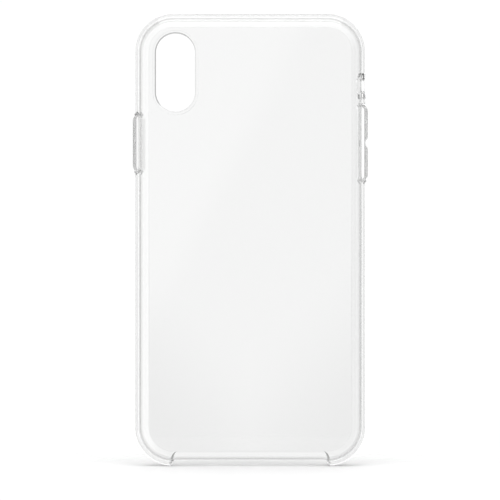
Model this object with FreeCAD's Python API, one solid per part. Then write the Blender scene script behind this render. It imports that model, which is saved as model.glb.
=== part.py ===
"""Clear slip-on case for a slim phone, upright on its bottom edge.

The case is a shallow tray: a hard, clear back panel with a flexible, clear bumper moulded round its edge.
The bumper wraps the phone's rounded sides and ends in a raised lip round the screen. It is open along the bottom,
between the two bottom corners, for the charging port and the speakers. The back panel has a pill-shaped camera
opening with a proud ring. Soft covers stand over the phone's side button and its two volume buttons, each on a
thin web that lets it travel inwards, and a dished slot leaves the ring switch open.

Frame, in millimetres: +Z up the case, -Y out of the back panel, +Y out of the open screen side, +X to the right
of someone who looks at the back panel. The origin is on the ground, midway across the width and the depth.
"""

import FreeCAD
import Part

import math
import os

V = FreeCAD.Vector

# The phone that the case is made for
PHONE_WIDTH = 75.7
PHONE_HEIGHT = 150.9
PHONE_DEPTH = 8.3
PHONE_CORNER = 11.5  # radius of its corners, seen from the back
FIT_GAP = 0.05  # between the phone and the case, all round

# Walls. An offset is measured outwards from the phone's outline, seen from the back.
WALL = 1.7
PANEL_THICKNESS = 1.25
LIP_HEIGHT = 1.05  # of the lip above the phone's screen
OUTER_OFFSET = FIT_GAP + WALL
MOUTH_OFFSET = -2.6  # edge of the opening that shows the screen
BACK_ROUND = 4.4  # radius between the back and the sides
FRONT_ROUND = 3.9  # radius between the sides and the lip
CAVITY_ROUND = 3.8  # the same, inside, along the phone's rounded sides
LIP_EDGE_ROUND = 0.25

# Camera opening, a pill that stands upright near the upper left corner of the back
CAMERA_X = -25.4
CAMERA_UPPER_Z = 140.4  # centre of the pill's upper round end
CAMERA_LOWER_Z = 127.1
CAMERA_RADIUS = 6.6
RING_WIDTH = 1.1
RING_PROUD = 0.2
RING_BEVEL = 0.45

# Depth, centred on the ring's face and the lip
DEPTH = RING_PROUD + PANEL_THICKNESS + 2 * FIT_GAP + PHONE_DEPTH + LIP_HEIGHT
FRONT_Y = DEPTH / 2
BACK_Y = -DEPTH / 2 + RING_PROUD
CAVITY_BACK_Y = BACK_Y + PANEL_THICKNESS
CAVITY_FRONT_Y = CAVITY_BACK_Y + PHONE_DEPTH + 2 * FIT_GAP
MID_Y = (CAVITY_BACK_Y + CAVITY_FRONT_Y) / 2

# Lap joint between panel and bumper: the panel's outer skin reaches further out than its inner half
LAP_OUTER_OFFSET = 0.05
LAP_INNER_OFFSET = -0.8
LAP_Y = BACK_Y + 1.45

# Open bottom edge: its ends lean outwards towards the ground, and are rounded where they meet it
OPEN_HALF_AT_GROUND = 26.9
OPEN_LEAN = 0.41  # sideways run for each millimetre of height
TIP_ROUND = 1.0
PANEL_EDGE_Z = 2.2  # the panel's bottom edge stops this high
LIP_CUT_TOP_Z = 6.0

# Height: the case stands on its two bottom corners, where the rounded tips begin
LEAN_ANGLE = math.atan2(1, -OPEN_LEAN)  # between the ground and a leaning end, inside the wall
TIP_LENGTH = TIP_ROUND / math.tan(LEAN_ANGLE / 2)
CORNER_OUTER = PHONE_CORNER + OUTER_OFFSET
HALF_WIDTH = PHONE_WIDTH / 2 + OUTER_OFFSET
FOOT_X = OPEN_HALF_AT_GROUND + TIP_LENGTH
FOOT_RISE = CORNER_OUTER - (CORNER_OUTER**2 - (FOOT_X - HALF_WIDTH + CORNER_OUTER) ** 2) ** 0.5
MID_Z = PHONE_HEIGHT / 2 + OUTER_OFFSET - FOOT_RISE

# Button covers: a flat top on sloping sides, which stand on a foot level with the web
COVER_PROUD = 0.45  # of the case's side
COVER_TOP_WIDTH = 3.0
COVER_FOOT_WIDTH = 4.0
COVER_END_SLOPE = 1.3  # how far each end runs out from top to foot
WEB_OUTER_OFFSET = 1.25
WEB_THICKNESS = 0.45
WEB_WIDTH = 0.6  # from a cover's foot to the window's edge
WEB_GAP = 0.04  # keeps each cover free of the web it is drawn in
PUSHER_WIDTH = 2.4
PUSHER_INNER_OFFSET = 0.5  # the face that meets the phone's own button
PUSHER_EXTRA = 0.2  # the pusher is this much longer than the flat top at each end
WINDOW_FLARE = 1.0  # width gained for each millimetre outwards, above the web

SIDE_BUTTON_Z = (101.6, 118.3)  # lower and upper end of the flat top
VOLUME_DOWN_Z = (98.5, 108.3)
VOLUME_UP_Z = (111.6, 121.5)

# Slot for the ring switch, with a dish round it for a fingertip
SWITCH_Z = (126.6, 132.2)
SWITCH_WIDTH = 5.2
SWITCH_ROUND = 1.8
DISH_INNER_OFFSET = 0.45
DISH_LONGER = 1.6  # than the slot at each end, at the case's side
DISH_WIDER = 2.3  # the same, at each edge

FAR = 20.0  # longer than any wall is thick
LEFT, RIGHT = -1, 1


def outline(offset, y):
    """The phone's outline, grown by offset, as a closed wire at depth y."""
    half_x = PHONE_WIDTH / 2 + offset
    half_z = PHONE_HEIGHT / 2 + offset
    radius = PHONE_CORNER + offset
    return rounded_rectangle(half_x, half_z, radius, lambda a, b: V(a, y, MID_Z + b))


def rounded_rectangle(half_a, half_b, radius, place):
    """A closed wire of four sides and four quarter circles. place turns plane coordinates into a point."""
    diagonal = radius * (1 - 0.5**0.5)
    in_a, in_b = half_a - radius, half_b - radius
    edges = []
    for sign_a, sign_b in ((1, 1), (-1, 1), (-1, -1), (1, -1)):
        beside = place(sign_a * half_a, sign_b * in_b)
        above = place(sign_a * in_a, sign_b * half_b)
        middle = place(sign_a * (half_a - diagonal), sign_b * (half_b - diagonal))
        first, last = (beside, above) if sign_a == sign_b else (above, beside)
        edges.append(Part.Arc(first, middle, last).toShape())
        if sign_a == sign_b:
            far_end = place(-sign_a * in_a, sign_b * half_b)
        else:
            far_end = place(sign_a * half_a, -sign_b * in_b)
        if (far_end - last).Length > 1e-6:
            edges.append(Part.LineSegment(last, far_end).toShape())
    return Part.Wire(edges)


def prism(offset, y_from, y_to):
    """The phone's outline, grown by offset, as a solid between two depths."""
    return Part.Face(outline(offset, y_from)).extrude(V(0, y_to - y_from, 0))


def edges_at_depth(shape, y):
    return [e for e in shape.Edges if abs(e.BoundBox.YMin - y) < 1e-4 and abs(e.BoundBox.YMax - y) < 1e-4]


def block(x_from, x_to, y_from, y_to, z_from, z_to):
    return Part.makeBox(x_to - x_from, y_to - y_from, z_to - z_from, V(x_from, y_from, z_from))


def pill_face(side, centre_z, half_length, half_width, radius, offset):
    """A rounded rectangle on the left or right wall, upright, at the given offset."""
    x = side * (PHONE_WIDTH / 2 + offset)
    return Part.Face(rounded_rectangle(half_width, half_length, radius, lambda a, b: V(x, MID_Y + a, centre_z + b)))


def pill(side, z_range, grow, width, radius, inner, outer):
    """A straight block through a side wall: z_range grown by grow at both ends, between two offsets."""
    centre_z, half_length = sum(z_range) / 2, (z_range[1] - z_range[0]) / 2 + grow
    face = pill_face(side, centre_z, half_length, width / 2, radius, inner)
    return face.extrude(V(side * (outer - inner), 0, 0))


def frustum(side, z_range, inner, outer):
    """A block that widens or narrows outwards. inner and outer are (offset, grow, width, radius)."""
    centre_z, half_length = sum(z_range) / 2, (z_range[1] - z_range[0]) / 2
    wires = []
    for offset, grow, width, radius in (inner, outer):
        face = pill_face(side, centre_z, half_length + grow, width / 2, radius, offset)
        wires.append(face.OuterWire)
    return Part.makeLoft(wires, True, True)


def tray():
    """Panel and bumper in one: the outer body less the phone's space and the screen's opening."""
    outer = prism(OUTER_OFFSET, BACK_Y, FRONT_Y)
    outer = outer.makeFillet(BACK_ROUND, edges_at_depth(outer, BACK_Y))
    outer = outer.makeFillet(FRONT_ROUND, edges_at_depth(outer, FRONT_Y))
    cavity = prism(FIT_GAP, CAVITY_BACK_Y, CAVITY_FRONT_Y)
    cavity = cavity.makeFillet(CAVITY_ROUND, edges_at_depth(cavity, CAVITY_BACK_Y))
    cavity = cavity.makeFillet(CAVITY_ROUND, edges_at_depth(cavity, CAVITY_FRONT_Y))
    mouth = prism(MOUTH_OFFSET, MID_Y, FRONT_Y + FAR)
    shell = outer.cut(cavity).cut(mouth)
    inner_edges = [
        e for e in edges_at_depth(shell, FRONT_Y)
        if e.BoundBox.XMax < PHONE_WIDTH / 2 + MOUTH_OFFSET + 1e-3
        and e.BoundBox.XMin > -PHONE_WIDTH / 2 - MOUTH_OFFSET - 1e-3
        and e.BoundBox.ZMax < MID_Z + PHONE_HEIGHT / 2 + MOUTH_OFFSET + 1e-3
        and e.BoundBox.ZMin > MID_Z - PHONE_HEIGHT / 2 - MOUTH_OFFSET - 1e-3
    ]
    shell = shell.makeFillet(LIP_EDGE_ROUND, inner_edges)
    return shell.cut(open_bottom())


def open_profile(top_z, y):
    """The open bottom edge's outline at depth y: two leaning ends with a rounded tip each, up to top_z."""
    lean_end = OPEN_HALF_AT_GROUND + TIP_LENGTH * math.cos(LEAN_ANGLE)
    to_corner = V(OPEN_HALF_AT_GROUND - FOOT_X, 0, -TIP_ROUND).normalize() * TIP_ROUND
    points = {}
    for side in (LEFT, RIGHT):
        points[side] = {
            "deep": V(side * FOOT_X, y, -FAR),
            "foot": V(side * FOOT_X, y, 0),
            "middle": V(side * (FOOT_X + to_corner.x), y, TIP_ROUND + to_corner.z),
            "lean": V(side * lean_end, y, TIP_LENGTH * math.sin(LEAN_ANGLE)),
            "top": V(side * (OPEN_HALF_AT_GROUND - OPEN_LEAN * top_z), y, top_z),
        }
    left, right = points[LEFT], points[RIGHT]
    return Part.Wire([
        Part.LineSegment(left["deep"], right["deep"]).toShape(),
        Part.LineSegment(right["deep"], right["foot"]).toShape(),
        Part.Arc(right["foot"], right["middle"], right["lean"]).toShape(),
        Part.LineSegment(right["lean"], right["top"]).toShape(),
        Part.LineSegment(right["top"], left["top"]).toShape(),
        Part.LineSegment(left["top"], left["lean"]).toShape(),
        Part.Arc(left["lean"], left["middle"], left["foot"]).toShape(),
        Part.LineSegment(left["foot"], left["deep"]).toShape(),
    ])


def open_bottom():
    """The open bottom edge: low behind the panel's edge, and higher where it takes away the lip."""
    behind = Part.Face(open_profile(PANEL_EDGE_Z, BACK_Y - FAR)).extrude(V(0, MID_Y - BACK_Y + FAR, 0))
    lip = Part.Face(open_profile(LIP_CUT_TOP_Z, MID_Y)).extrude(V(0, FRONT_Y + FAR, 0))
    return behind.fuse(lip).removeSplitter()


def panel_space():
    """Everything that is the panel's rather than the bumper's: a stepped lap, and the whole bottom edge."""
    skin = prism(LAP_OUTER_OFFSET, BACK_Y - FAR, LAP_Y)
    core = prism(LAP_INNER_OFFSET, BACK_Y - FAR, MID_Y)
    half = OPEN_HALF_AT_GROUND - OPEN_LEAN * PANEL_EDGE_Z
    bottom = block(-half, half, BACK_Y - FAR, MID_Y, -FAR, MID_Z)
    return skin.fuse(core).fuse(bottom)


def camera_pill(grow, y_from, y_to):
    """The camera opening's outline, grown all round, as a solid between two depths."""
    centre_z = (CAMERA_UPPER_Z + CAMERA_LOWER_Z) / 2
    half_length = (CAMERA_UPPER_Z - CAMERA_LOWER_Z) / 2 + CAMERA_RADIUS + grow
    radius = CAMERA_RADIUS + grow
    wire = rounded_rectangle(radius, half_length, radius, lambda a, b: V(CAMERA_X + a, y_from, centre_z + b))
    return Part.Face(wire).extrude(V(0, y_to - y_from, 0))


def back_panel(shell):
    return shell.common(panel_space()).cut(camera_pill(RING_WIDTH, -FAR, MID_Y))


def camera_ring():
    ring = camera_pill(RING_WIDTH, BACK_Y - RING_PROUD, CAVITY_BACK_Y)
    ring = ring.makeFillet(RING_PROUD * 0.9, edges_at_depth(ring, BACK_Y - RING_PROUD))
    ring = ring.cut(camera_pill(0, -FAR, MID_Y))
    inner = [
        e for e in edges_at_depth(ring, BACK_Y - RING_PROUD)
        if e.BoundBox.XMin > CAMERA_X - CAMERA_RADIUS - 1e-3 and e.BoundBox.XMax < CAMERA_X + CAMERA_RADIUS + 1e-3
    ]
    return ring.makeChamfer(RING_BEVEL, inner)


def window(side, z_range):
    """The hole in a side wall that a web spans, flared outside the web."""
    grow = COVER_END_SLOPE + WEB_WIDTH
    width = COVER_FOOT_WIDTH + 2 * WEB_WIDTH
    flared = (OUTER_OFFSET + 1.0 - WEB_OUTER_OFFSET) * WINDOW_FLARE
    hole = pill(side, z_range, grow, width, width / 2 - 0.2, -FAR / 2, OUTER_OFFSET)
    flare = frustum(
        side, z_range,
        (WEB_OUTER_OFFSET, grow, width, width / 2 - 0.2),
        (OUTER_OFFSET + 1.0, grow + flared, width + 2 * flared, width / 2 - 0.2 + flared),
    )
    return hole.fuse(flare)


def switch_slot(side):
    slot = pill(side, SWITCH_Z, 0, SWITCH_WIDTH, SWITCH_ROUND, -FAR / 2, OUTER_OFFSET)
    dish = frustum(
        side, SWITCH_Z,
        (DISH_INNER_OFFSET, 0, SWITCH_WIDTH, SWITCH_ROUND),
        (OUTER_OFFSET + 0.01, DISH_LONGER, SWITCH_WIDTH + 2 * DISH_WIDER, SWITCH_ROUND + DISH_LONGER),
    )
    return slot.fuse(dish)


def bumper_frame(shell):
    volume_pair = (VOLUME_DOWN_Z[0], VOLUME_UP_Z[1])
    frame = shell.cut(panel_space())
    for cutter in (window(LEFT, SIDE_BUTTON_Z), window(RIGHT, volume_pair), switch_slot(RIGHT)):
        frame = frame.cut(cutter)
    return frame


def button_cover(side, z_range):
    """A cover: flat top, sloping sides down to the web's level, and a narrower pusher inside."""
    foot = (WEB_OUTER_OFFSET, COVER_END_SLOPE, COVER_FOOT_WIDTH, COVER_FOOT_WIDTH / 2 - 0.2)
    top = (OUTER_OFFSET + COVER_PROUD, 0, COVER_TOP_WIDTH, COVER_TOP_WIDTH / 2 - 0.2)
    inner = WEB_OUTER_OFFSET - WEB_THICKNESS
    body = pill(side, z_range, foot[1], foot[2], foot[3], inner, WEB_OUTER_OFFSET)
    pusher = pill(side, z_range, PUSHER_EXTRA, PUSHER_WIDTH, PUSHER_WIDTH / 2 - 0.2, PUSHER_INNER_OFFSET, inner)
    return frustum(side, z_range, foot, top).fuse(body).fuse(pusher).removeSplitter()


def web(side, z_range, covers):
    """The thin flexible plate between a window's edge and the covers that stand in it."""
    inner = WEB_OUTER_OFFSET - WEB_THICKNESS
    width = COVER_FOOT_WIDTH + 2 * WEB_WIDTH
    plate = pill(side, z_range, COVER_END_SLOPE + WEB_WIDTH, width, width / 2 - 0.2, inner, WEB_OUTER_OFFSET)
    for cover_range in covers:
        hole_width = COVER_FOOT_WIDTH + 2 * WEB_GAP
        hole = pill(side, cover_range, COVER_END_SLOPE + WEB_GAP, hole_width, hole_width / 2 - 0.2, 0, FAR)
        plate = plate.cut(hole)
    return plate


def main():
    shell = tray()
    volume_pair = (VOLUME_DOWN_Z[0], VOLUME_UP_Z[1])
    nodes = {
        "back_panel": back_panel(shell),
        "bumper_frame": bumper_frame(shell),
        "camera_ring": camera_ring(),
        "side_button_cover": button_cover(LEFT, SIDE_BUTTON_Z),
        "side_button_web": web(LEFT, SIDE_BUTTON_Z, [SIDE_BUTTON_Z]),
        "volume_up_cover": button_cover(RIGHT, VOLUME_UP_Z),
        "volume_down_cover": button_cover(RIGHT, VOLUME_DOWN_Z),
        "volume_web": web(RIGHT, volume_pair, [VOLUME_UP_Z, VOLUME_DOWN_Z]),
    }
    os.makedirs("parts", exist_ok=True)
    for name, shape in nodes.items():
        shape.exportStep(f"parts/{name}.step")
        print(name, len(shape.Solids), "solid,", round(shape.Volume, 1), "mm3, valid", shape.isValid())


main()
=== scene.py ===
"""Looks of the clear phone case.

Every piece is rebuilt as a smooth mesh, in millimetres and in the CAD's frame: X to the right, seen from
the back, Y from the back to the screen, Z up.
"""

import math

import bpy
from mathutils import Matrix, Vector
from mathutils.geometry import tessellate_polygon


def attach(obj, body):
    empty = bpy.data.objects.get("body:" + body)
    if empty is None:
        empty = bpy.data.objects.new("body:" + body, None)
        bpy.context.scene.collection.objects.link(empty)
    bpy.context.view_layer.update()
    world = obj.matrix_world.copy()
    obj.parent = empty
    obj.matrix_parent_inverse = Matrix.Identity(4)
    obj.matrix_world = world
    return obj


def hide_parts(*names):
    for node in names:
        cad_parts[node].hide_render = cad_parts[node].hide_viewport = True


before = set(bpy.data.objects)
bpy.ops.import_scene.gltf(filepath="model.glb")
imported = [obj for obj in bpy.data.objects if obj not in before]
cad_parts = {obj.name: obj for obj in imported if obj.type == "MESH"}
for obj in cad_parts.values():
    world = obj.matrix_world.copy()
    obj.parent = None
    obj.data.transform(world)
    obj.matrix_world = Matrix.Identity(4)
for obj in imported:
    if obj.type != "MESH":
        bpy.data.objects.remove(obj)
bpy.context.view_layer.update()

MM = 0.001

# The phone's outline, seen from the back. An offset u is measured outwards from it.
HALF_WIDTH = 37.85
HALF_HEIGHT = 75.45
CORNER = 11.5
MID_Z = 77.144
CORNER_X = HALF_WIDTH - CORNER
CORNER_TOP_Z = MID_Z + HALF_HEIGHT - CORNER
CORNER_LOW_Z = MID_Z - HALF_HEIGHT + CORNER

# The wall's section, in (u, y)
OUTER_U = 1.75
BACK_Y, FRONT_Y = -5.25, 5.45
BACK_R, FRONT_R = 4.4, 3.9
BACK_CENTRE = (OUTER_U - BACK_R, BACK_Y + BACK_R)
FRONT_CENTRE = (OUTER_U - FRONT_R, FRONT_Y - FRONT_R)
INNER_U = 0.05
INNER_BACK_Y, INNER_FRONT_Y = -4.0, 4.4
INNER_R = 3.8
INNER_BACK_CENTRE = (INNER_U - INNER_R, INNER_BACK_Y + INNER_R)
INNER_FRONT_CENTRE = (INNER_U - INNER_R, INNER_FRONT_Y - INNER_R)
MID_Y = (INNER_BACK_Y + INNER_FRONT_Y) / 2
MOUTH_U = -2.6
LAP_OUTER_U, LAP_INNER_U, LAP_Y = 0.05, -0.8, -3.8
SEAM = 0.012  # air between two mouldings

# Open bottom edge
FOOT_X, FOOT_LEAN = 26.9, 0.41
PANEL_EDGE_Z = 2.2
PANEL_FOOT_X = 26.0
LAP_FOOT_X, LAP_FOOT_Y = 26.27, -2.1  # the lap stops short of the open end

# Camera opening
CAMERA_X, CAMERA_Z = -25.4, (127.1, 140.4)
CAMERA_R = 6.6
RING_WIDTH, RING_PROUD = 1.1, 0.2

# Covers, webs and the windows that they stand in
COVER_U = OUTER_U + 0.45
COVER_TOP, COVER_FOOT, COVER_SLOPE = 1.5, 2.0, 1.3
WEB_U, WEB_THICK, WEB_WIDTH, WEB_GAP = 1.25, 0.45, 0.6, 0.04
PUSHER_HALF, PUSHER_U, PUSHER_EXTRA = 1.2, 0.5, 0.2
END_FLAT = 0.2  # their ends are rounded to half their width less this
SIDE_BUTTON_Z = (101.6, 118.3)
VOLUME_DOWN_Z = (98.5, 108.3)
VOLUME_UP_Z = (111.6, 121.5)
VOLUME_Z = (VOLUME_DOWN_Z[0], VOLUME_UP_Z[1])
SWITCH_Z = (126.6, 132.2)

LEFT, RIGHT = -1, 1

HALVINGS = 40  # steps of a search by halving
PATH_BOUNCES = 32  # light crosses many clear surfaces


# ---- meshes --------------------------------------------------------------------------------------

class Skin:
    """Faces with a normal at each corner. Corners at one place share a vertex."""

    CELL = 2e-4  # points nearer than this are one vertex
    NO_AREA = 1e-12

    def __init__(self):
        self.points = []
        self.cells = {}
        self.faces = []
        self.normals = []

    def vertex(self, p):
        cell = [math.floor(c / self.CELL) for c in p]
        for dx in (0, -1, 1):
            for dy in (0, -1, 1):
                for dz in (0, -1, 1):
                    found = self.cells.get((cell[0] + dx, cell[1] + dy, cell[2] + dz))
                    if found is not None and (self.points[found] - p).length < self.CELL:
                        return found
        self.points.append(p)
        self.cells[tuple(cell)] = len(self.points) - 1
        return len(self.points) - 1

    def face(self, corners, flat=False):
        """corners is a list of (point, normal). The winding follows the normals."""
        ids, kept = [], []
        for p, n in corners:
            v = self.vertex(p)
            if v not in ids:
                ids.append(v)
                kept.append((p, n))
        if len(ids) < 3:
            return
        start = kept[0][0]
        true = Vector((0, 0, 0))
        for (a, _), (b, _) in zip(kept[1:], kept[2:]):
            true += (a - start).cross(b - start)
        if true.length < self.NO_AREA:
            return
        mean = sum((n for _, n in kept), Vector((0, 0, 0)))
        if true.dot(mean) < 0:
            ids.reverse()
            kept.reverse()
            true = -true
        self.faces.append(ids)
        self.normals += [true.normalized() if flat else n.normalized() for _, n in kept]

    def rows(self, rows):
        """Quads between closed rows of (point, normal)."""
        for one, two in zip(rows, rows[1:]):
            for k in range(len(one)):
                m = (k + 1) % len(one)
                self.face([one[k], one[m], two[m], two[k]])

    def plate(self, loops, normal):
        """A flat face with holes: loops of points, the outer one first."""
        flat = [p for loop in loops for p in loop]
        for a, b, c in tessellate_polygon(loops):
            self.face([(flat[a], normal), (flat[b], normal), (flat[c], normal)])

    def build(self, name, body, nodes, material):
        mesh = bpy.data.meshes.new(name)
        mesh.from_pydata([p * MM for p in self.points], [], self.faces)
        mesh.normals_split_custom_set(self.normals)
        mesh.materials.append(material)
        piece = bpy.data.objects.new(name, mesh)
        bpy.context.scene.collection.objects.link(piece)
        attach(piece, body)
        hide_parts(*nodes)
        return piece


def lerp(a, b, t):
    return a + (b - a) * t


def bezier(a, corner, b, steps):
    """Points and tangents of a curve that rounds a corner, ends included."""
    out = []
    for i in range(steps + 1):
        t = i / steps
        p = a * (1 - t) ** 2 + corner * (2 * t * (1 - t)) + b * t**2
        out.append((p, ((corner - a) * (1 - t) + (b - corner) * t).normalized()))
    return out


def rounded_run(points, rounds, steps=4):
    """A run of straight lines with rounded corners, as (point, tangent).

    rounds has, for each inner point, how far from the corner its curve starts.
    """
    out = []
    start = points[0]
    for i, cut in enumerate(rounds, 1):
        before = (points[i - 1] - points[i]).normalized()
        after = (points[i + 1] - points[i]).normalized()
        curve = bezier(points[i] + before * cut, points[i], points[i] + after * cut, steps)
        out.append((start, -before))
        out += curve
        start = curve[-1][0]
    out.append((points[-1], (points[-1] - points[-2]).normalized()))
    return [s for i, s in enumerate(out) if i == 0 or (s[0] - out[i - 1][0]).length > 1e-4]


def band(lines):
    """Rows of (point, normal) from lines of (point, tangent) across an anticlockwise loop."""
    count = len(lines)
    rows = [[] for _ in lines[0]]
    for k, line in enumerate(lines):
        before, after = lines[k - 1], lines[(k + 1) % count]
        for i, (point, tangent) in enumerate(line):
            around = after[i][0] - before[i][0]
            rows[i].append((point, -tangent.cross(around).normalized()))
    return rows


# ---- the wall's section --------------------------------------------------------------------------

def outer_u(y):
    """Offset of the outer surface at a depth."""
    if y < BACK_CENTRE[1]:
        return BACK_CENTRE[0] + math.sqrt(max(BACK_R**2 - (y - BACK_CENTRE[1]) ** 2, 0))
    if y > FRONT_CENTRE[1]:
        return FRONT_CENTRE[0] + math.sqrt(max(FRONT_R**2 - (y - FRONT_CENTRE[1]) ** 2, 0))
    return OUTER_U


def inner_u(y):
    """Offset of the inner surface at a depth."""
    if y < INNER_BACK_CENTRE[1]:
        return INNER_BACK_CENTRE[0] + math.sqrt(max(INNER_R**2 - (y - INNER_BACK_CENTRE[1]) ** 2, 0))
    if y > INNER_FRONT_CENTRE[1]:
        return INNER_FRONT_CENTRE[0] + math.sqrt(max(INNER_R**2 - (y - INNER_FRONT_CENTRE[1]) ** 2, 0))
    return INNER_U


def outer_normal(y):
    """(n_u, n_y) of the outer surface."""
    if y < BACK_CENTRE[1]:
        s = (y - BACK_CENTRE[1]) / BACK_R
    elif y > FRONT_CENTRE[1]:
        s = (y - FRONT_CENTRE[1]) / FRONT_R
    else:
        s = 0.0
    return math.sqrt(1 - s * s), s


def inner_normal(y):
    """(n_u, n_y) of the inner surface."""
    if y < INNER_BACK_CENTRE[1]:
        s = (y - INNER_BACK_CENTRE[1]) / INNER_R
    elif y > INNER_FRONT_CENTRE[1]:
        s = (y - INNER_FRONT_CENTRE[1]) / INNER_R
    else:
        s = 0.0
    return -math.sqrt(1 - s * s), -s


def arc(centre, radius, start, end, steps, sign=1):
    """(u, y, n_u, n_y) along an arc, ends included. Angles in degrees; sign -1 turns the normals inwards."""
    out = []
    for i in range(steps + 1):
        a = math.radians(lerp(start, end, i / steps))
        out.append((centre[0] + radius * math.cos(a), centre[1] + radius * math.sin(a),
                    sign * math.cos(a), sign * math.sin(a)))
    return out


def on_circle(centre, radius, angle):
    a = math.radians(angle)
    return centre[0] + radius * math.cos(a), centre[1] + radius * math.sin(a)


def turn(before, corner, after, steps=3):
    """(u, y, n_u, n_y) round a corner, ends included. before and after are (u, y) points on its two sides."""
    a, c, b = (Vector((p[0], p[1], 0)) for p in (before, corner, after))
    out = []
    for p, t in bezier(a, c, b, steps):
        out.append((p.x, p.y, t.y, -t.x))
    return out


def spread(a, b, steps):
    """Even steps from a to b, both included."""
    return [lerp(a, b, i / steps) for i in range(steps + 1)]


def slope_steps(centre_y, radius, start_y, end_y, steps):
    """Depths along an arc at even angles."""
    a0 = math.asin((start_y - centre_y) / radius)
    a1 = math.asin((end_y - centre_y) / radius)
    return [centre_y + radius * math.sin(lerp(a0, a1, i / steps)) for i in range(steps + 1)]


# Depths of the columns that a window's patch meets, on the outer and on the inner surface
PATCH_OUTER = (-3.85, 4.3)
PATCH_INNER = (-2.5, 3.3)
OUTER_COLUMNS = (
    slope_steps(BACK_CENTRE[1], BACK_R, PATCH_OUTER[0], BACK_CENTRE[1], 7)
    + spread(BACK_CENTRE[1], FRONT_CENTRE[1], 4)[1:]
    + slope_steps(FRONT_CENTRE[1], FRONT_R, FRONT_CENTRE[1], PATCH_OUTER[1], 7)[1:]
)
INNER_COLUMNS = (
    slope_steps(INNER_BACK_CENTRE[1], INNER_R, PATCH_INNER[0], INNER_BACK_CENTRE[1], 8)
    + spread(INNER_BACK_CENTRE[1], INNER_FRONT_CENTRE[1], 2)[1:]
    + slope_steps(INNER_FRONT_CENTRE[1], INNER_R, INNER_FRONT_CENTRE[1], PATCH_INNER[1], 8)[1:]
)


def angle_at(centre, radius, u, sign):
    """Angle in degrees of the point of a circle at u, on its upper (1) or lower (-1) side."""
    return sign * math.degrees(math.acos((u - centre[0]) / radius))


# How the bumper's section is rounded: at the lip's front and back edge, at the core's corner with the inner
# surface, and at the small corners of the lap
LIP_FRONT_ROUND, LIP_BACK_ROUND, CORE_ROUND, LAP_ROUND = 0.3, 0.12, 0.03, 0.04
# How far the open ends are rounded over, round the section: its outer back, its outer side, the lip's front,
# the lip's edge, the lip's back edge, the inner surface and the lap
END_BACK, END_SIDE, END_FRONT = 0.3, 0.6, 0.5
END_LIP, END_LIP_BACK, END_INNER, END_LAP = 0.35, 0.3, 0.25, 0.03


def bumper_section():
    """The bumper's closed section as (u, y, n_u, n_y, end_round), with the places of the patch columns."""
    lap_u = LAP_OUTER_U + SEAM
    core_u = LAP_INNER_U + SEAM
    lap_y = LAP_Y + SEAM
    part = angle_at(BACK_CENTRE, BACK_R, lap_u, -1)
    tip = on_circle(BACK_CENTRE, BACK_R, part)
    first_angle = -math.degrees(math.asin((BACK_CENTRE[1] - PATCH_OUTER[0]) / BACK_R))
    round_angle = math.degrees(LAP_ROUND / BACK_R)
    samples = []

    def add(items, end_round):
        samples.extend((*item, end_round) for item in items)

    add(arc(BACK_CENTRE, BACK_R, part + round_angle, first_angle, 4), END_BACK)
    outer_first = len(samples) - 1
    for y in OUTER_COLUMNS[1:]:
        add([(outer_u(y), y, *outer_normal(y))], END_SIDE)
    outer_last = len(samples) - 1
    last_angle = math.degrees(math.asin((PATCH_OUTER[1] - FRONT_CENTRE[1]) / FRONT_R))
    add(arc(FRONT_CENTRE, FRONT_R, last_angle, 90, 7)[1:], END_FRONT)
    mouth_angle = angle_at(INNER_FRONT_CENTRE, INNER_R, MOUTH_U, 1)
    mouth_y = INNER_FRONT_CENTRE[1] + INNER_R * math.sin(math.radians(mouth_angle))
    before = (MOUTH_U + LIP_FRONT_ROUND, FRONT_Y)
    add(turn(before, (MOUTH_U, FRONT_Y), (MOUTH_U, FRONT_Y - LIP_FRONT_ROUND), 5), END_LIP)
    soft = angle_at(INNER_FRONT_CENTRE, INNER_R, MOUTH_U + LIP_BACK_ROUND, 1)
    after = (MOUTH_U + LIP_BACK_ROUND, INNER_FRONT_CENTRE[1] + INNER_R * math.sin(math.radians(soft)))
    add(turn((MOUTH_U, mouth_y + LIP_BACK_ROUND), (MOUTH_U, mouth_y), after, 4), END_LIP_BACK)
    inner_last_angle = math.degrees(math.asin((PATCH_INNER[1] - INNER_FRONT_CENTRE[1]) / INNER_R))
    add(arc(INNER_FRONT_CENTRE, INNER_R, soft, inner_last_angle, 4, -1)[1:], END_INNER)
    inner_last = len(samples) - 1
    for y in reversed(INNER_COLUMNS[:-1]):
        add([(inner_u(y), y, *inner_normal(y))], END_INNER)
    inner_first = len(samples) - 1
    core_angle = angle_at(INNER_BACK_CENTRE, INNER_R, core_u, -1)
    core_y = INNER_BACK_CENTRE[1] + INNER_R * math.sin(math.radians(core_angle))
    before = on_circle(INNER_BACK_CENTRE, INNER_R, core_angle + math.degrees(CORE_ROUND / INNER_R))
    add(turn(before, (core_u, core_y), (core_u, core_y - CORE_ROUND)), END_LAP)
    add(turn((core_u, lap_y + LAP_ROUND), (core_u, lap_y), (core_u + LAP_ROUND, lap_y)), END_LAP)
    add(turn((lap_u - LAP_ROUND, lap_y), (lap_u, lap_y), (lap_u, lap_y - LAP_ROUND)), END_LAP)
    first = samples[0]
    add(turn((lap_u, tip[1] + LAP_ROUND), tip, (first[0], first[1]))[:-1], END_LAP)
    return samples, (outer_first, outer_last), (inner_first, inner_last)


# ---- outlines ------------------------------------------------------------------------------------

ARC_STEPS = 7
ROW_STRAIGHT, COLUMN_STRAIGHT = 4, 10


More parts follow.
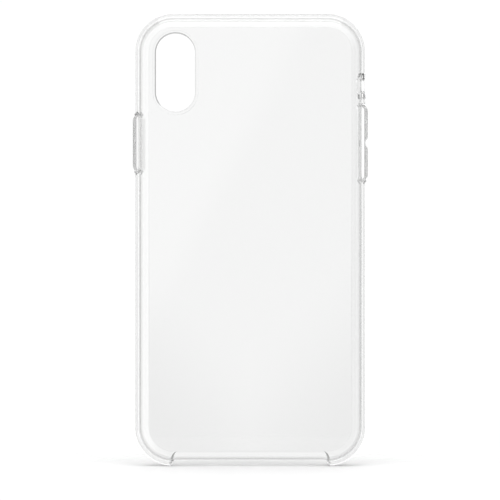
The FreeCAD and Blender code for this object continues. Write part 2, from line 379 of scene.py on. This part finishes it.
def pill_loop(centre, half, radius):
    """Points (a, b) round a rounded rectangle, anticlockwise from the middle of its lower left corner.

    Every loop has the same number of points, so any two of them pair up.
    """
    flat_a, flat_b = half[0] - radius, half[1] - radius
    out = []
    for side, (straight, reach) in enumerate(
        ((ROW_STRAIGHT, flat_a), (COLUMN_STRAIGHT, flat_b), (ROW_STRAIGHT, flat_a), (COLUMN_STRAIGHT, flat_b))
    ):
        turn_angle = math.radians(90 * side)
        depth = flat_b if side % 2 == 0 else flat_a
        local = []
        for i in range(ARC_STEPS):
            a = math.radians(225 + 45 * i / ARC_STEPS)
            local.append((-reach + radius * math.cos(a), -depth + radius * math.sin(a)))
        for i in range(straight):
            local.append((lerp(-reach, reach, i / straight), -depth - radius))
        for i in range(ARC_STEPS):
            a = math.radians(270 + 45 * i / ARC_STEPS)
            local.append((reach + radius * math.cos(a), -depth + radius * math.sin(a)))
        c, s = math.cos(turn_angle), math.sin(turn_angle)
        out += [(centre[0] + c * x - s * y, centre[1] + s * x + c * y) for x, y in local]
    return out


def stadium_loop(centre_a, ends_b, radius, steps=32, straight=4):
    """Points (a, b) round an upright stadium, anticlockwise."""
    out = []
    for centre_b, first in ((ends_b[0], 180), (ends_b[1], 0)):
        for i in range(steps + 1):
            a = math.radians(first + 180 * i / steps)
            out.append((centre_a + radius * math.cos(a), centre_b + radius * math.sin(a)))
        x, far = out[-1][0], ends_b[1] if first == 180 else ends_b[0]
        out += [(x, lerp(centre_b, far, i / straight)) for i in range(1, straight)]
    return out


def on_wall(side):
    """Two functions that take wall coordinates (u, y, z) to the left or right wall: a point, a direction."""

    def place(p):
        return Vector((side * (HALF_WIDTH + p.x), p.y, p.z))

    def point_way(n):
        return Vector((side * n.x, n.y, n.z))

    return place, point_way


def on_back(p):
    """Takes back coordinates (height towards the back, x, z) to a place or a direction."""
    return Vector((p.y, -p.x, p.z))


def moved(rows, place, point_way):
    return [[(place(p), point_way(n)) for p, n in row] for row in rows]


def at(u, pair):
    """A point at a height, over a point of a loop."""
    return Vector((u, pair[0], pair[1]))


def direction(pair_from, pair_to):
    d = Vector((0, pair_to[0] - pair_from[0], pair_to[1] - pair_from[1]))
    return d.normalized()


# ---- bumper --------------------------------------------------------------------------------------

class Hole:
    """A hole through a side wall with a sloping mouth, and the patch of wall round it.

    It is straight from inside up to deep_u, and from there it widens by (wider, longer) at mouth_u. edge is
    how far its edge is rounded on the outer surface. patch_z is the patch's lower and upper height.
    """

    INNER_EDGE = 0.05
    DEEP_ROUND = 0.1

    def __init__(self, z_range, grow, half_y, radius, deep_u, mouth_u, wider, longer, mouth_radius, edge,
                 patch_z):
        centre = (MID_Y, sum(z_range) / 2)
        half_z = (z_range[1] - z_range[0]) / 2 + grow
        self.deep = pill_loop(centre, (half_y, half_z), radius)
        self.mouth = pill_loop(centre, (half_y + wider, half_z + longer), mouth_radius)
        self.deep_u, self.mouth_u = deep_u, mouth_u
        self.edge = edge
        self.patch_z = patch_z

    def heights(self):
        """Heights of the stations that the patch meets, lowest first."""
        first = 2 * ARC_STEPS + ROW_STRAIGHT
        column = [b for _, b in self.deep[first:first + 2 * ARC_STEPS + COLUMN_STRAIGHT + 1]]
        low, high = column[0], column[-1]
        return [lerp(self.patch_z[0], self.patch_z[1], (z - low) / (high - low)) for z in column]

    def frame_loop(self, columns):
        """The patch's rectangle, paired with the hole's loops."""
        heights = self.heights()
        loop = [(y, heights[0]) for y in columns[:-1]]
        loop += [(columns[-1], z) for z in heights[:-1]]
        loop += [(y, heights[-1]) for y in reversed(columns[1:])]
        loop += [(columns[0], z) for z in reversed(heights[1:])]
        return loop

    def mouth_edge(self, k):
        """Where the sloping mouth meets the wall's outer surface."""
        a, b = self.deep[k], self.mouth[k]
        low, high = 0.0, 1.0
        for _ in range(HALVINGS):
            t = (low + high) / 2
            if lerp(self.deep_u, self.mouth_u, t) < outer_u(lerp(a[0], b[0], t)):
                low = t
            else:
                high = t
        return lerp(a[0], b[0], t), lerp(a[1], b[1], t)

    def add(self, skin, side):
        """Adds the hole's wall and the patch round it, outside and inside, to a skin."""
        place, point_way = on_wall(side)
        count = len(self.deep)
        outer_frame, inner_frame = self.frame_loop(OUTER_COLUMNS), self.frame_loop(INNER_COLUMNS)
        lines, outer_ends, inner_ends = [], [], []
        for k, here in enumerate(self.deep):
            before, after = self.deep[k - 1], self.deep[(k + 1) % count]
            out = Vector((0, after[1] - before[1], before[0] - after[0])).normalized()
            lip = self.mouth_edge(k)
            away = direction(here, self.mouth[k])
            on_outer = (lip[0] + away.y * self.edge, lip[1] + away.z * self.edge)
            on_inner = (here[0] + out.y * self.INNER_EDGE, here[1] + out.z * self.INNER_EDGE)
            points = [
                at(outer_u(on_outer[0]), on_outer),
                at(outer_u(lip[0]), lip),
                at(self.deep_u, here),
                at(inner_u(here[0]), here),
                at(inner_u(on_inner[0]), on_inner),
            ]
            rounds = [(points[0] - points[1]).length, self.DEEP_ROUND, (points[3] - points[4]).length]
            lines.append(rounded_run(points, rounds))
            outer_ends.append(on_outer)
            inner_ends.append(on_inner)
        rows = band(lines)
        rows[0] = [(p, Vector((*outer_normal(p.y), 0))) for p, _ in rows[0]]
        rows[-1] = [(p, Vector((*inner_normal(p.y), 0))) for p, _ in rows[-1]]
        outside = self.surface(outer_frame, outer_ends, outer_u, outer_normal)
        inside = self.surface(inner_ends, inner_frame, inner_u, inner_normal)
        skin.rows(moved(outside[:-1] + rows + inside[1:], place, point_way))

    @staticmethod
    def surface(loop, towards, height, normal, steps=4):
        """Rows on the wall's outer or inner surface between two loops."""
        rows = []
        for i in range(steps + 1):
            row = []
            for a, b in zip(loop, towards):
                y, z = lerp(a[0], b[0], i / steps), lerp(a[1], b[1], i / steps)
                row.append((Vector((height(y), y, z)), Vector((*normal(y), 0))))
            rows.append(row)
        return rows


def window(z_range, patch_z):
    """The hole round covers and their web. Its mouth slopes at 45 degrees."""
    mouth, edge = 1.5, 0.12
    half_y = COVER_FOOT + WEB_WIDTH
    radius = half_y - END_FLAT
    return Hole(z_range, COVER_SLOPE + WEB_WIDTH, half_y, radius, WEB_U, WEB_U + mouth, mouth, mouth,
                radius + mouth, edge, patch_z)


SIDE_WINDOW = window(SIDE_BUTTON_Z, (98.4, 121.5))
VOLUME_WINDOW = window(VOLUME_Z, (95.2, 124.4))
SWITCH_HOLE = Hole(
    SWITCH_Z, grow=0, half_y=2.6, radius=1.8, deep_u=0.45, mouth_u=OUTER_U + 0.01,
    wider=2.3, longer=1.6, mouth_radius=3.4, edge=0.15, patch_z=(124.4, 134.4),
)


def straight_stations(side, heights):
    """Places on the outline, each with its outward direction, up a straight side."""
    return [(Vector((side * HALF_WIDTH, 0, z)), Vector((side, 0, 0))) for z in heights]


def corner_stations(side, centre_z, start, end, steps=24):
    """Stations round a corner. Angles in degrees from +X, for the right side; the left side mirrors them."""
    out = []
    for i in range(steps + 1):
        a = math.radians(lerp(start, end, i / steps))
        way = Vector((side * math.cos(a), 0, math.sin(a)))
        out.append((Vector((side * CORNER_X, 0, centre_z)) + way * CORNER, way))
    return out


FOOT_START = -76  # degrees: from here on each point of the section has its own way to the open end


def foot_rows(section, side):
    """Rows of the bumper's section from the last corner station to the open end, which is rounded."""
    cap = Vector((-side, 0, -FOOT_LEAN)).normalized()
    rows = []
    run_steps, round_steps = 8, 6
    for step in range(1, run_steps + round_steps + 1):
        row = []
        for u, y, nu, ny, end_round in section:
            radius = CORNER + u
            end = foot_end(u, y)
            start = radius * math.radians(FOOT_START + 90)
            if step <= run_steps:
                s = lerp(start, end + end_round, step / run_steps)
                inset, blend = 0.0, 0.0
            else:
                a = math.radians(90 * (step - run_steps) / round_steps)
                s = end + end_round * (1 - math.sin(a))
                inset, blend = end_round * (1 - math.cos(a)), math.sin(a)
            point, way = foot_place(u - nu * inset, s, side)
            point.y = y - ny * inset
            normal = way * nu + Vector((0, ny, 0))
            row.append((point, normal * math.sqrt(1 - blend**2) + cap * blend))
        rows.append(row)
    return rows, cap


def foot_place(u, s, side):
    """The place at offset u, s millimetres along the outline from a bottom corner's lowest point."""
    radius = CORNER + u
    if s < 0:
        return Vector((side * (CORNER_X + s), 0, CORNER_LOW_Z - radius)), Vector((0, 0, -1))
    a = s / radius
    way = Vector((side * math.sin(a), 0, -math.cos(a)))
    return Vector((side * CORNER_X, 0, CORNER_LOW_Z)) + way * radius, way


def foot_end(u, y):
    """Where the open end lies, along the outline from a bottom corner's lowest point; negative is inwards."""
    radius = CORNER + u
    if u < LAP_OUTER_U + 0.1 and y < LAP_FOOT_Y:
        return LAP_FOOT_X - CORNER_X
    low, high = -6.0, 6.0
    for _ in range(HALVINGS):
        s = (low + high) / 2
        point, _ = foot_place(u, s, RIGHT)
        if point.x < FOOT_X - FOOT_LEAN * point.z:
            low = s
        else:
            high = s
    return s


def bumper(material):
    section, outer_span, inner_span = bumper_section()
    skin = Skin()
    foot_heights = [CORNER_LOW_Z, 40, 70]  # below the windows
    left = straight_stations(LEFT, foot_heights + SIDE_WINDOW.heights() + [CORNER_TOP_Z])
    right_heights = VOLUME_WINDOW.heights() + SWITCH_HOLE.heights()[1:]
    right = straight_stations(RIGHT, foot_heights + right_heights + [CORNER_TOP_Z])
    top_left = corner_stations(LEFT, CORNER_TOP_Z, 0, 90)
    top_right = corner_stations(RIGHT, CORNER_TOP_Z, 90, 0)
    low_left = corner_stations(LEFT, CORNER_LOW_Z, FOOT_START, 0, 20)
    low_right = corner_stations(RIGHT, CORNER_LOW_Z, 0, FOOT_START, 20)
    stations = low_left + left[1:] + top_left[1:] + top_right + right[-2::-1] + low_right[1:]
    rows = [
        [(base + way * u + Vector((0, y, 0)), way * nu + Vector((0, ny, 0))) for u, y, nu, ny, _ in section]
        for base, way in stations
    ]
    count = len(section)
    patched = [(LEFT, SIDE_WINDOW.patch_z), (RIGHT, VOLUME_WINDOW.patch_z), (RIGHT, SWITCH_HOLE.patch_z)]
    for (base, way), (base_two, _), one, two in zip(stations, stations[1:], rows, rows[1:]):
        mid = (base + base_two) / 2
        open_here = any(way.x == side and low < mid.z < high for side, (low, high) in patched)
        for j in range(count):
            if open_here and (outer_span[0] <= j < outer_span[1] or inner_span[1] <= j < inner_span[0]):
                continue
            m = (j + 1) % count
            skin.face([one[j], one[m], two[m], two[j]])
    for side, first in ((LEFT, rows[0]), (RIGHT, rows[-1])):
        ends, cap = foot_rows(section, side)
        skin.rows([first] + ends)
        skin.plate([[p for p, _ in ends[-1]]], cap)
    SIDE_WINDOW.add(skin, LEFT)
    VOLUME_WINDOW.add(skin, RIGHT)
    SWITCH_HOLE.add(skin, RIGHT)
    return skin.build("bumper", "shell", ["bumper_frame"], material)


# ---- back panel and camera ring ------------------------------------------------------------------

RIM_STEPS = 9
SMALL_CUT = 0.04  # how far the panel's sharp edges are rounded


def panel_sections():
    """The panel's rim from its flat outer face to its flat inner face, as (u, y, n_u, n_y).

    The first is beside the bumper and the second along the open bottom edge. They have as many points.
    """
    lap_angle = angle_at(BACK_CENTRE, BACK_R, LAP_OUTER_U, -1)
    edge_u = MID_Z - HALF_HEIGHT - PANEL_EDGE_Z
    edge_angle = angle_at(BACK_CENTRE, BACK_R, edge_u, -1)
    core_angle = angle_at(INNER_BACK_CENTRE, INNER_R, LAP_INNER_U, -1)
    foot_angle = angle_at(INNER_BACK_CENTRE, INNER_R, edge_u, -1)
    cut, soft = SMALL_CUT, 0.3
    outer_cut, inner_cut = math.degrees(cut / BACK_R), math.degrees(cut / INNER_R)
    outer_soft, inner_soft = math.degrees(soft / BACK_R), math.degrees(soft / INNER_R)

    beside = arc(BACK_CENTRE, BACK_R, -90, lap_angle - outer_cut, RIM_STEPS)
    lap = (LAP_OUTER_U, LAP_Y)
    core = (LAP_INNER_U, LAP_Y)
    tip = on_circle(BACK_CENTRE, BACK_R, lap_angle)
    crest = on_circle(INNER_BACK_CENTRE, INNER_R, core_angle)
    beside += turn(beside[-1], tip, (tip[0], tip[1] + cut), 3)[1:]
    beside += turn((lap[0], lap[1] - cut), lap, (lap[0] - cut, lap[1]), 3)
    beside += turn((core[0] + cut, core[1]), core, (core[0], core[1] + cut), 3)
    after = on_circle(INNER_BACK_CENTRE, INNER_R, core_angle - inner_cut)
    beside += turn((crest[0], crest[1] - cut), crest, after, 3)
    beside += arc(INNER_BACK_CENTRE, INNER_R, core_angle - inner_cut, -90, RIM_STEPS, -1)[1:]

    along = arc(BACK_CENTRE, BACK_R, -90, edge_angle - outer_soft, RIM_STEPS)
    tip = on_circle(BACK_CENTRE, BACK_R, edge_angle)
    crest = on_circle(INNER_BACK_CENTRE, INNER_R, foot_angle)
    along += turn(along[-1], tip, (tip[0], tip[1] + soft), 7)[1:]
    after = on_circle(INNER_BACK_CENTRE, INNER_R, foot_angle - inner_soft)
    along += turn((crest[0], crest[1] - soft), crest, after, 7)
    along += arc(INNER_BACK_CENTRE, INNER_R, foot_angle - inner_soft, -90, RIM_STEPS, -1)[1:]
    return beside, along


def camera_loop(grow):
    """The camera opening's outline, grown by a distance."""
    return stadium_loop(CAMERA_X, CAMERA_Z, CAMERA_R + grow)


def back_rows(rows):
    return moved(rows, on_back, on_back)


def back_panel(material):
    beside, along = panel_sections()
    skin = Skin()
    down = Vector((0, 0, -1))
    low = MID_Z - HALF_HEIGHT
    foot = [(Vector((x, 0, low)), down) for x in (-PANEL_FOOT_X, 0, PANEL_FOOT_X)]
    lap_foot = Vector((LAP_FOOT_X, 0, low)), down
    right = corner_stations(RIGHT, CORNER_LOW_Z, -90, 0) + corner_stations(RIGHT, CORNER_TOP_Z, 0, 90)
    left = corner_stations(LEFT, CORNER_TOP_Z, 90, 0) + corner_stations(LEFT, CORNER_LOW_Z, 0, -90)
    stations = foot + [lap_foot] + right + left + [(Vector((-LAP_FOOT_X, 0, low)), down)]
    rows = []
    for i, (base, way) in enumerate(stations):
        section = along if i < len(foot) else beside
        rows.append([
            (base + way * u + Vector((0, y, 0)), way * nu + Vector((0, ny, 0))) for u, y, nu, ny in section
        ])
    for i, one in enumerate(rows):
        step = i in (len(foot) - 1, len(rows) - 1)  # from the bottom edge's section to the other one
        two = rows[(i + 1) % len(rows)]
        for j in range(len(one) - 1):
            flat = step and RIM_STEPS <= j < len(one) - 1 - RIM_STEPS
            skin.face([one[j], one[j + 1], two[j + 1], two[j]], flat)
    hole, wide = camera_loop(RING_WIDTH + SEAM), camera_loop(RING_WIDTH + SEAM + SMALL_CUT)
    outer, inner = -BACK_Y, -INNER_BACK_Y
    lines = []
    for narrow, broad in zip(hole, wide):
        points = [at(outer, broad), at(outer, narrow), at(inner, narrow), at(inner, broad)]
        lines.append(rounded_run(points, [SMALL_CUT, SMALL_CUT]))
    wall = back_rows(band(lines))
    skin.rows(wall)
    skin.plate([[r[0][0] for r in rows], [p for p, _ in wall[0]]], Vector((0, -1, 0)))
    skin.plate([[r[-1][0] for r in rows], [p for p, _ in wall[-1]]], Vector((0, 1, 0)))
    return skin.build("clear_back", "shell", ["back_panel"], material)


def camera_ring(material):
    """The proud, bevelled ring, from its section: heights towards the back and distances from the opening."""
    bevel, start = 0.45, 0.5
    face, under = -BACK_Y + RING_PROUD, -INNER_BACK_Y
    specs = [(under, start), (under, RING_WIDTH), (face, RING_WIDTH), (face, bevel), (face - bevel, 0),
             (under, 0), (under, start)]
    rounds = [0.04, 0.17, 0.12, 0.12, 0.1]
    loops = [camera_loop(grow) for _, grow in specs]
    lines = []
    for k in range(len(loops[0])):
        points = [at(height, loop[k]) for (height, _), loop in zip(specs, loops)]
        lines.append(rounded_run(points, rounds))
    skin = Skin()
    skin.rows(back_rows(band(lines)))
    return skin.build("camera_opening_ring", "shell", ["camera_ring"], material)


# ---- covers and webs -----------------------------------------------------------------------------

def cover_loop(z_range, half_y, longer, radius):
    centre = (MID_Y, sum(z_range) / 2)
    return pill_loop(centre, (half_y, (z_range[1] - z_range[0]) / 2 + longer), radius)


def button_cover(name, side, z_range, body, material):
    """A cover from its pusher's face out to its own: offset, half width, extra length and end radius."""
    inset = 0.32
    end = PUSHER_HALF - END_FLAT
    specs = [
        (PUSHER_U, PUSHER_HALF - inset, PUSHER_EXTRA - inset, end - inset),
        (PUSHER_U, PUSHER_HALF, PUSHER_EXTRA, end),
        (WEB_U - WEB_THICK, PUSHER_HALF, PUSHER_EXTRA, end),
        (WEB_U - WEB_THICK, COVER_FOOT, COVER_SLOPE, COVER_FOOT - END_FLAT),
        (WEB_U, COVER_FOOT, COVER_SLOPE, COVER_FOOT - END_FLAT),
        (COVER_U, COVER_TOP, 0, COVER_TOP - END_FLAT),
        (COVER_U, COVER_TOP - inset, -inset, COVER_TOP - END_FLAT - inset),
    ]
    rounds = [0.2, 0.1, 0.05, 0.1, 0.28]
    loops = [cover_loop(z_range, half_y, longer, radius) for _, half_y, longer, radius in specs]
    lines = []
    for k in range(len(loops[0])):
        points = [at(u, loop[k]) for (u, *_), loop in zip(specs, loops)]
        lines.append(rounded_run(points, rounds))
    place, point_way = on_wall(side)
    rows = moved(band(lines), place, point_way)
    skin = Skin()
    skin.rows(rows)
    skin.plate([[p for p, _ in rows[0]]], Vector((-side, 0, 0)))
    skin.plate([[p for p, _ in rows[-1]]], Vector((side, 0, 0)))
    return skin.build(name, body, [name.replace("_cap", "_cover")], material)


def web(name, side, z_range, covers, node, material):
    """The flat web that fills a window, with a hole for each cover."""
    half_y = COVER_FOOT + WEB_WIDTH - SEAM
    rim = cover_loop(z_range, half_y, COVER_SLOPE + WEB_WIDTH - SEAM, half_y - END_FLAT)
    hole_y = COVER_FOOT + WEB_GAP
    holes = [cover_loop(z, hole_y, COVER_SLOPE + WEB_GAP, hole_y - END_FLAT) for z in covers]
    low, high = WEB_U - WEB_THICK, WEB_U
    place, point_way = on_wall(side)
    skin = Skin()
    for loop, (first, last) in [(rim, (low, high))] + [(hole, (high, low)) for hole in holes]:
        lines = [rounded_run([at(first, pair), at(last, pair)], []) for pair in loop]
        skin.rows(moved(band(lines), place, point_way))
    for u, way in ((low, -side), (high, side)):
        skin.plate([[place(at(u, pair)) for pair in loop] for loop in [rim] + holes], Vector((way, 0, 0)))
    return skin.build(name, "shell", [node], material)


# ---- materials -----------------------------------------------------------------------------------

class Wiring:
    """Short calls for the maths of a node tree."""

    def __init__(self, tree):
        self.nodes, self.links = tree.nodes, tree.links

    def feed(self, socket, value):
        """Links an output to the socket, or sets a plain value on it."""
        if isinstance(value, bpy.types.NodeSocket):
            self.links.new(value, socket)
        else:
            socket.default_value = value

    def maths(self, operation, *values):
        node = self.nodes.new("ShaderNodeMath")
        node.operation = operation
        for socket, value in zip(node.inputs, values):
            self.feed(socket, value)
        return node.outputs["Value"]

    def ramp(self, value, low, high, start=0.0, end=1.0, kind="SMOOTHSTEP"):
        """Turns low..high into start..end."""
        node = self.nodes.new("ShaderNodeMapRange")
        node.interpolation_type = kind
        names = ("Value", "From Min", "From Max", "To Min", "To Max")
        for name, setting in zip(names, (value, low, high, start, end)):
            self.feed(node.inputs[name], setting)
        return node.outputs["Result"]

    def noise(self, where, scale, detail):
        node = self.nodes.new("ShaderNodeTexNoise")
        self.feed(node.inputs["Scale"], scale)
        self.feed(node.inputs["Detail"], detail)
        self.feed(node.inputs["Vector"], where)
        return node.outputs["Fac"]

    def place(self):
        """Places in the object's own frame, in metres."""
        return self.nodes.new("ShaderNodeTexCoord").outputs["Object"]


MARK_TILT, MARK_STRETCH = 0.5, (2600, 2600, 60)  # handling marks are slanted hairlines
RELIEF_DEPTH = 0.00005


def clear_plastic(name, tint, ior, roughness, haze, grain, bump):
    """Clear moulded plastic.

    Faint flow from the mould varies its roughness between roughness and haze, and gives it a slight relief.
    Fine handling marks are rougher still.
    """
    material = bpy.data.materials.new(name)
    material.use_nodes = True
    wiring = Wiring(material.node_tree)
    shader = wiring.nodes["Principled BSDF"]
    shader.inputs["Base Color"].default_value = (*tint, 1)
    shader.inputs["IOR"].default_value = ior
    shader.inputs["Transmission Weight"].default_value = 1
    where = wiring.place()
    flow = wiring.noise(where, grain, 3)

    stretch = wiring.nodes.new("ShaderNodeMapping")
    stretch.inputs["Rotation"].default_value = (0, MARK_TILT, 0)
    stretch.inputs["Scale"].default_value = MARK_STRETCH
    wiring.feed(stretch.inputs["Vector"], where)
    marks = wiring.ramp(wiring.noise(stretch.outputs["Vector"], 1, 2), 0.62, 0.74, kind="LINEAR")
    soft = wiring.ramp(flow, 0.35, 0.75, roughness, haze, kind="LINEAR")
    wiring.feed(shader.inputs["Roughness"], wiring.maths("MULTIPLY_ADD", marks, haze, soft))

    relief = wiring.nodes.new("ShaderNodeBump")
    relief.inputs["Strength"].default_value = bump
    relief.inputs["Distance"].default_value = RELIEF_DEPTH
    wiring.feed(relief.inputs["Height"], flow)
    wiring.feed(shader.inputs["Normal"], relief.outputs["Normal"])
    return material


# ---- studio --------------------------------------------------------------------------------------

def pale_material(name, shade, glow):
    """A matt surface that is a little lit from within, with its shader and the calls that wire it."""
    material = bpy.data.materials.new(name)
    material.use_nodes = True
    wiring = Wiring(material.node_tree)
    shader = wiring.nodes["Principled BSDF"]
    shader.inputs["Base Color"].default_value = (shade, shade, shade, 1)
    shader.inputs["Roughness"].default_value = 0.7
    shader.inputs["Specular IOR Level"].default_value = 0
    shader.inputs["Emission Color"].default_value = (1, 1, 1, 1)
    shader.inputs["Emission Strength"].default_value = glow
    return material, shader, wiring


def staged(name, mesh, material, place, hidden_from):
    """Puts a piece of the studio in place and hides it from some kinds of light path."""
    mesh.materials.append(material)
    thing = bpy.data.objects.new(name, mesh)
    thing.location = place
    for kind in hidden_from:
        setattr(thing, "visible_" + kind, False)
    bpy.context.scene.collection.objects.link(thing)


def floor():
    """A round floor near the case, for its shadow, that fades out so that no edge of it shows.

    The clear walls show the room through them and not this floor.
    """
    whole, reach = 0.09, 0.15
    mesh = bpy.data.meshes.new("floor")
    turns = 72
    angles = [math.tau * i / turns for i in range(turns)]
    mesh.from_pydata([(reach * math.cos(a), reach * math.sin(a), 0) for a in angles], [], [range(turns)])
    material, shader, wiring = pale_material("floor", 0.93, 0.06)
    length = wiring.nodes.new("ShaderNodeVectorMath")
    length.operation = "LENGTH"
    wiring.feed(length.inputs[0], wiring.place())
    wiring.feed(shader.inputs["Alpha"], wiring.ramp(length.outputs["Value"], whole, reach, 1.0, 0.0))
    staged("floor", mesh, material, (0, -0.06, 0), ["transmission"])


def painted_shadow_behind_lip():
    """A strip of painted shadow: floor painted a darker grey under the back panel's rounded lower edge, which
    bends it into view.

    Only the clear plastic shows it. It fades out behind the case and towards the frame's two ends.
    """
    half_width, reach, ends = 0.028, 0.013, 0.004
    mesh = bpy.data.meshes.new("painted_shadow_behind_lip")
    corners = [(-half_width, 0, 0), (half_width, 0, 0), (half_width, reach, 0), (-half_width, reach, 0)]
    mesh.from_pydata(corners, [], [(0, 1, 2, 3)])
    # painted shadow: this sheet is a darker grey than the floor and stands in for the contact shadow under
    # the lower edge
    material, shader, wiring = pale_material("painted_shadow_behind_lip", 0.62, 0)
    split = wiring.nodes.new("ShaderNodeSeparateXYZ")
    wiring.feed(split.inputs["Vector"], wiring.place())
    away = wiring.ramp(split.outputs["Y"], 0.002, reach, 1, 0)
    aside = wiring.maths("ABSOLUTE", split.outputs["X"])
    inside = wiring.ramp(aside, half_width - ends, half_width, 1, 0)
    wiring.feed(shader.inputs["Alpha"], wiring.maths("MULTIPLY", away, inside))
    hidden_from = ["camera", "glossy", "diffuse", "shadow"]
    staged("painted_shadow_behind_lip", mesh, material, (0, -0.004, -0.0001), hidden_from)


def backdrop():
    """A plain white studio all round, which only the camera sees: the case itself is lit by the room."""
    half = 3
    mesh = bpy.data.meshes.new("backdrop")
    corners = [(x, y, z) for x in (-half, half) for y in (-half, half) for z in (-half, half)]
    walls = [(0, 1, 3, 2), (4, 6, 7, 5), (0, 4, 5, 1), (2, 3, 7, 6), (0, 2, 6, 4), (1, 5, 7, 3)]
    mesh.from_pydata(corners, [], walls)
    material, _, _ = pale_material("backdrop", 0, 1.02)
    staged("backdrop", mesh, material, (0, 0, 0), ["transmission", "glossy", "diffuse", "shadow"])


# The room's brightness by the angle from straight behind the case, in bands of soft light with a darker
# room between them: a back wall that is brighter away from its middle, a ring of strips, and the camera's
# half of the room. Each band has its two angles in degrees, its brightness on the left and above, and its
# brightness on the right and below.
ROOM_SHADE = 0.5
LIGHT_BANDS = (
    (-10, 12, 1.028, 1.028),
    (12, 31, 1.18, 1.03),
    (44, 69, 1.38, 1.23),
    (100, 190, 0.9, 0.83),
)
BAND_EDGE = 3
SIDE_SPAN = (-0.3, 0.9)  # where left and above turn into right and below
# Straight behind the camera: its brightness, how much more there is above a slanted edge, the edge's two
# slopes, its offset and its softness, and the angles at which this part of the room starts
BEHIND_CAMERA, BEHIND_MORE, SLANT = 0.92, 0.28, (-0.889, 0.458, 0.0176, 0.006)
BEHIND_SPAN = (173, 176)
# The middle of the back wall is this much darker towards its lower corners, from here to here, and the
# angles at which the middle ends
CORNER_SHADE, CORNER_SPAN, MIDDLE_SPAN = 0.085, (0.03, 0.09), (8, 12)


def room():
    """A studio of soft light that reaches the case from all round."""
    world = bpy.data.worlds.new("room")
    bpy.context.scene.world = world
    world.use_nodes = True
    tree = world.node_tree
    wiring = Wiring(tree)
    maths, ramp = wiring.maths, wiring.ramp
    way = tree.nodes.new("ShaderNodeTexCoord").outputs["Generated"]
    split = tree.nodes.new("ShaderNodeSeparateXYZ")
    tree.links.new(way, split.inputs["Vector"])
    x, y, z = split.outputs
    angle = maths("DEGREES", maths("ARCCOSINE", maths("MINIMUM", maths("MAXIMUM", y, -1), 1)))
    aside = maths("SQRT", maths("ADD", maths("MULTIPLY", x, x), maths("MULTIPLY", z, z)))
    lower_right = maths("DIVIDE", maths("SUBTRACT", x, z), maths("MAXIMUM", aside, 0.001))
    side = ramp(lower_right, *SIDE_SPAN)
    light = ROOM_SHADE
    for low, high, left, right in LIGHT_BANDS:
        opened = ramp(angle, low - BAND_EDGE, low + BAND_EDGE)
        band = maths("MULTIPLY", opened, ramp(angle, high - BAND_EDGE, high + BAND_EDGE, 1, 0))
        more = maths("MULTIPLY_ADD", side, right - left, left - ROOM_SHADE)
        light = maths("MULTIPLY_ADD", band, more, light)
    across, up, place, soft = SLANT
    slope = maths("MULTIPLY_ADD", x, across, maths("MULTIPLY", z, up))
    upper = ramp(slope, place - soft, place + soft, BEHIND_CAMERA, BEHIND_CAMERA + BEHIND_MORE)
    behind_camera = ramp(angle, *BEHIND_SPAN)
    light = maths("MULTIPLY_ADD", behind_camera, maths("SUBTRACT", upper, light), light)
    corner = ramp(maths("SUBTRACT", maths("ABSOLUTE", x), z), *CORNER_SPAN, 0, -CORNER_SHADE)
    light = maths("MULTIPLY_ADD", ramp(angle, *MIDDLE_SPAN, 1, 0), corner, light)
    tree.links.new(light, tree.nodes["Background"].inputs["Color"])


def soft_light(name, place, target, size, power):
    """A rectangular light that the camera doesn't see."""
    data = bpy.data.lights.new(name, "AREA")
    data.shape = "RECTANGLE"
    data.size, data.size_y = size
    data.energy = power
    lamp = bpy.data.objects.new(name, data)
    lamp.location = place
    lamp.rotation_euler = (Vector(target) - Vector(place)).to_track_quat("-Z", "Y").to_euler()
    lamp.visible_camera = False
    bpy.context.scene.collection.objects.link(lamp)


def camera():
    """Straight behind the case, a little below its middle."""
    distance, sensor = 1.1, 36
    seen = 0.17055  # metres across the frame, at the case
    data = bpy.data.cameras.new("camera")
    data.sensor_width = sensor
    data.lens = sensor * distance / seen
    data.clip_end = 60
    eye = bpy.data.objects.new("camera", data)
    eye.location = (-0.0001, -distance, 0.0735)
    eye.rotation_euler = (math.pi / 2, 0, 0)
    bpy.context.scene.collection.objects.link(eye)
    bpy.context.scene.camera = eye


def main():
    hard = clear_plastic("clear_hard_plastic", (0.885, 0.887, 0.885), 1.585, 0.01, 0.03, 160, 0.008)
    flexible = clear_plastic("clear_soft_plastic", (0.97, 0.971, 0.97), 1.5, 0.015, 0.04, 220, 0.008)
    satin = clear_plastic("satin_soft_plastic", (0.86, 0.862, 0.86), 1.5, 0.25, 0.3, 260, 0.01)
    back_panel(hard)
    camera_ring(hard)
    bumper(flexible)
    web("side_button_membrane", LEFT, SIDE_BUTTON_Z, [SIDE_BUTTON_Z], "side_button_web", satin)
    web("volume_membrane", RIGHT, VOLUME_Z, [VOLUME_DOWN_Z, VOLUME_UP_Z], "volume_web", satin)
    button_cover("side_button_cap", LEFT, SIDE_BUTTON_Z, "side_button", satin)
    button_cover("volume_up_cap", RIGHT, VOLUME_UP_Z, "volume_up_button", satin)
    button_cover("volume_down_cap", RIGHT, VOLUME_DOWN_Z, "volume_down_button", satin)
    floor()
    # a painted shadow strip under the lower edge, which only the clear plastic shows
    painted_shadow_behind_lip()
    backdrop()
    room()
    soft_light("overhead", (0, -0.25, 1.0), (0, -0.05, 0), (0.9, 0.7), 3.6)
    camera()
    scene = bpy.context.scene
    scene.view_settings.view_transform = "Standard"
    scene.cycles.max_bounces = PATH_BOUNCES
    scene.cycles.transmission_bounces = PATH_BOUNCES
    scene.cycles.glossy_bounces = PATH_BOUNCES


main()
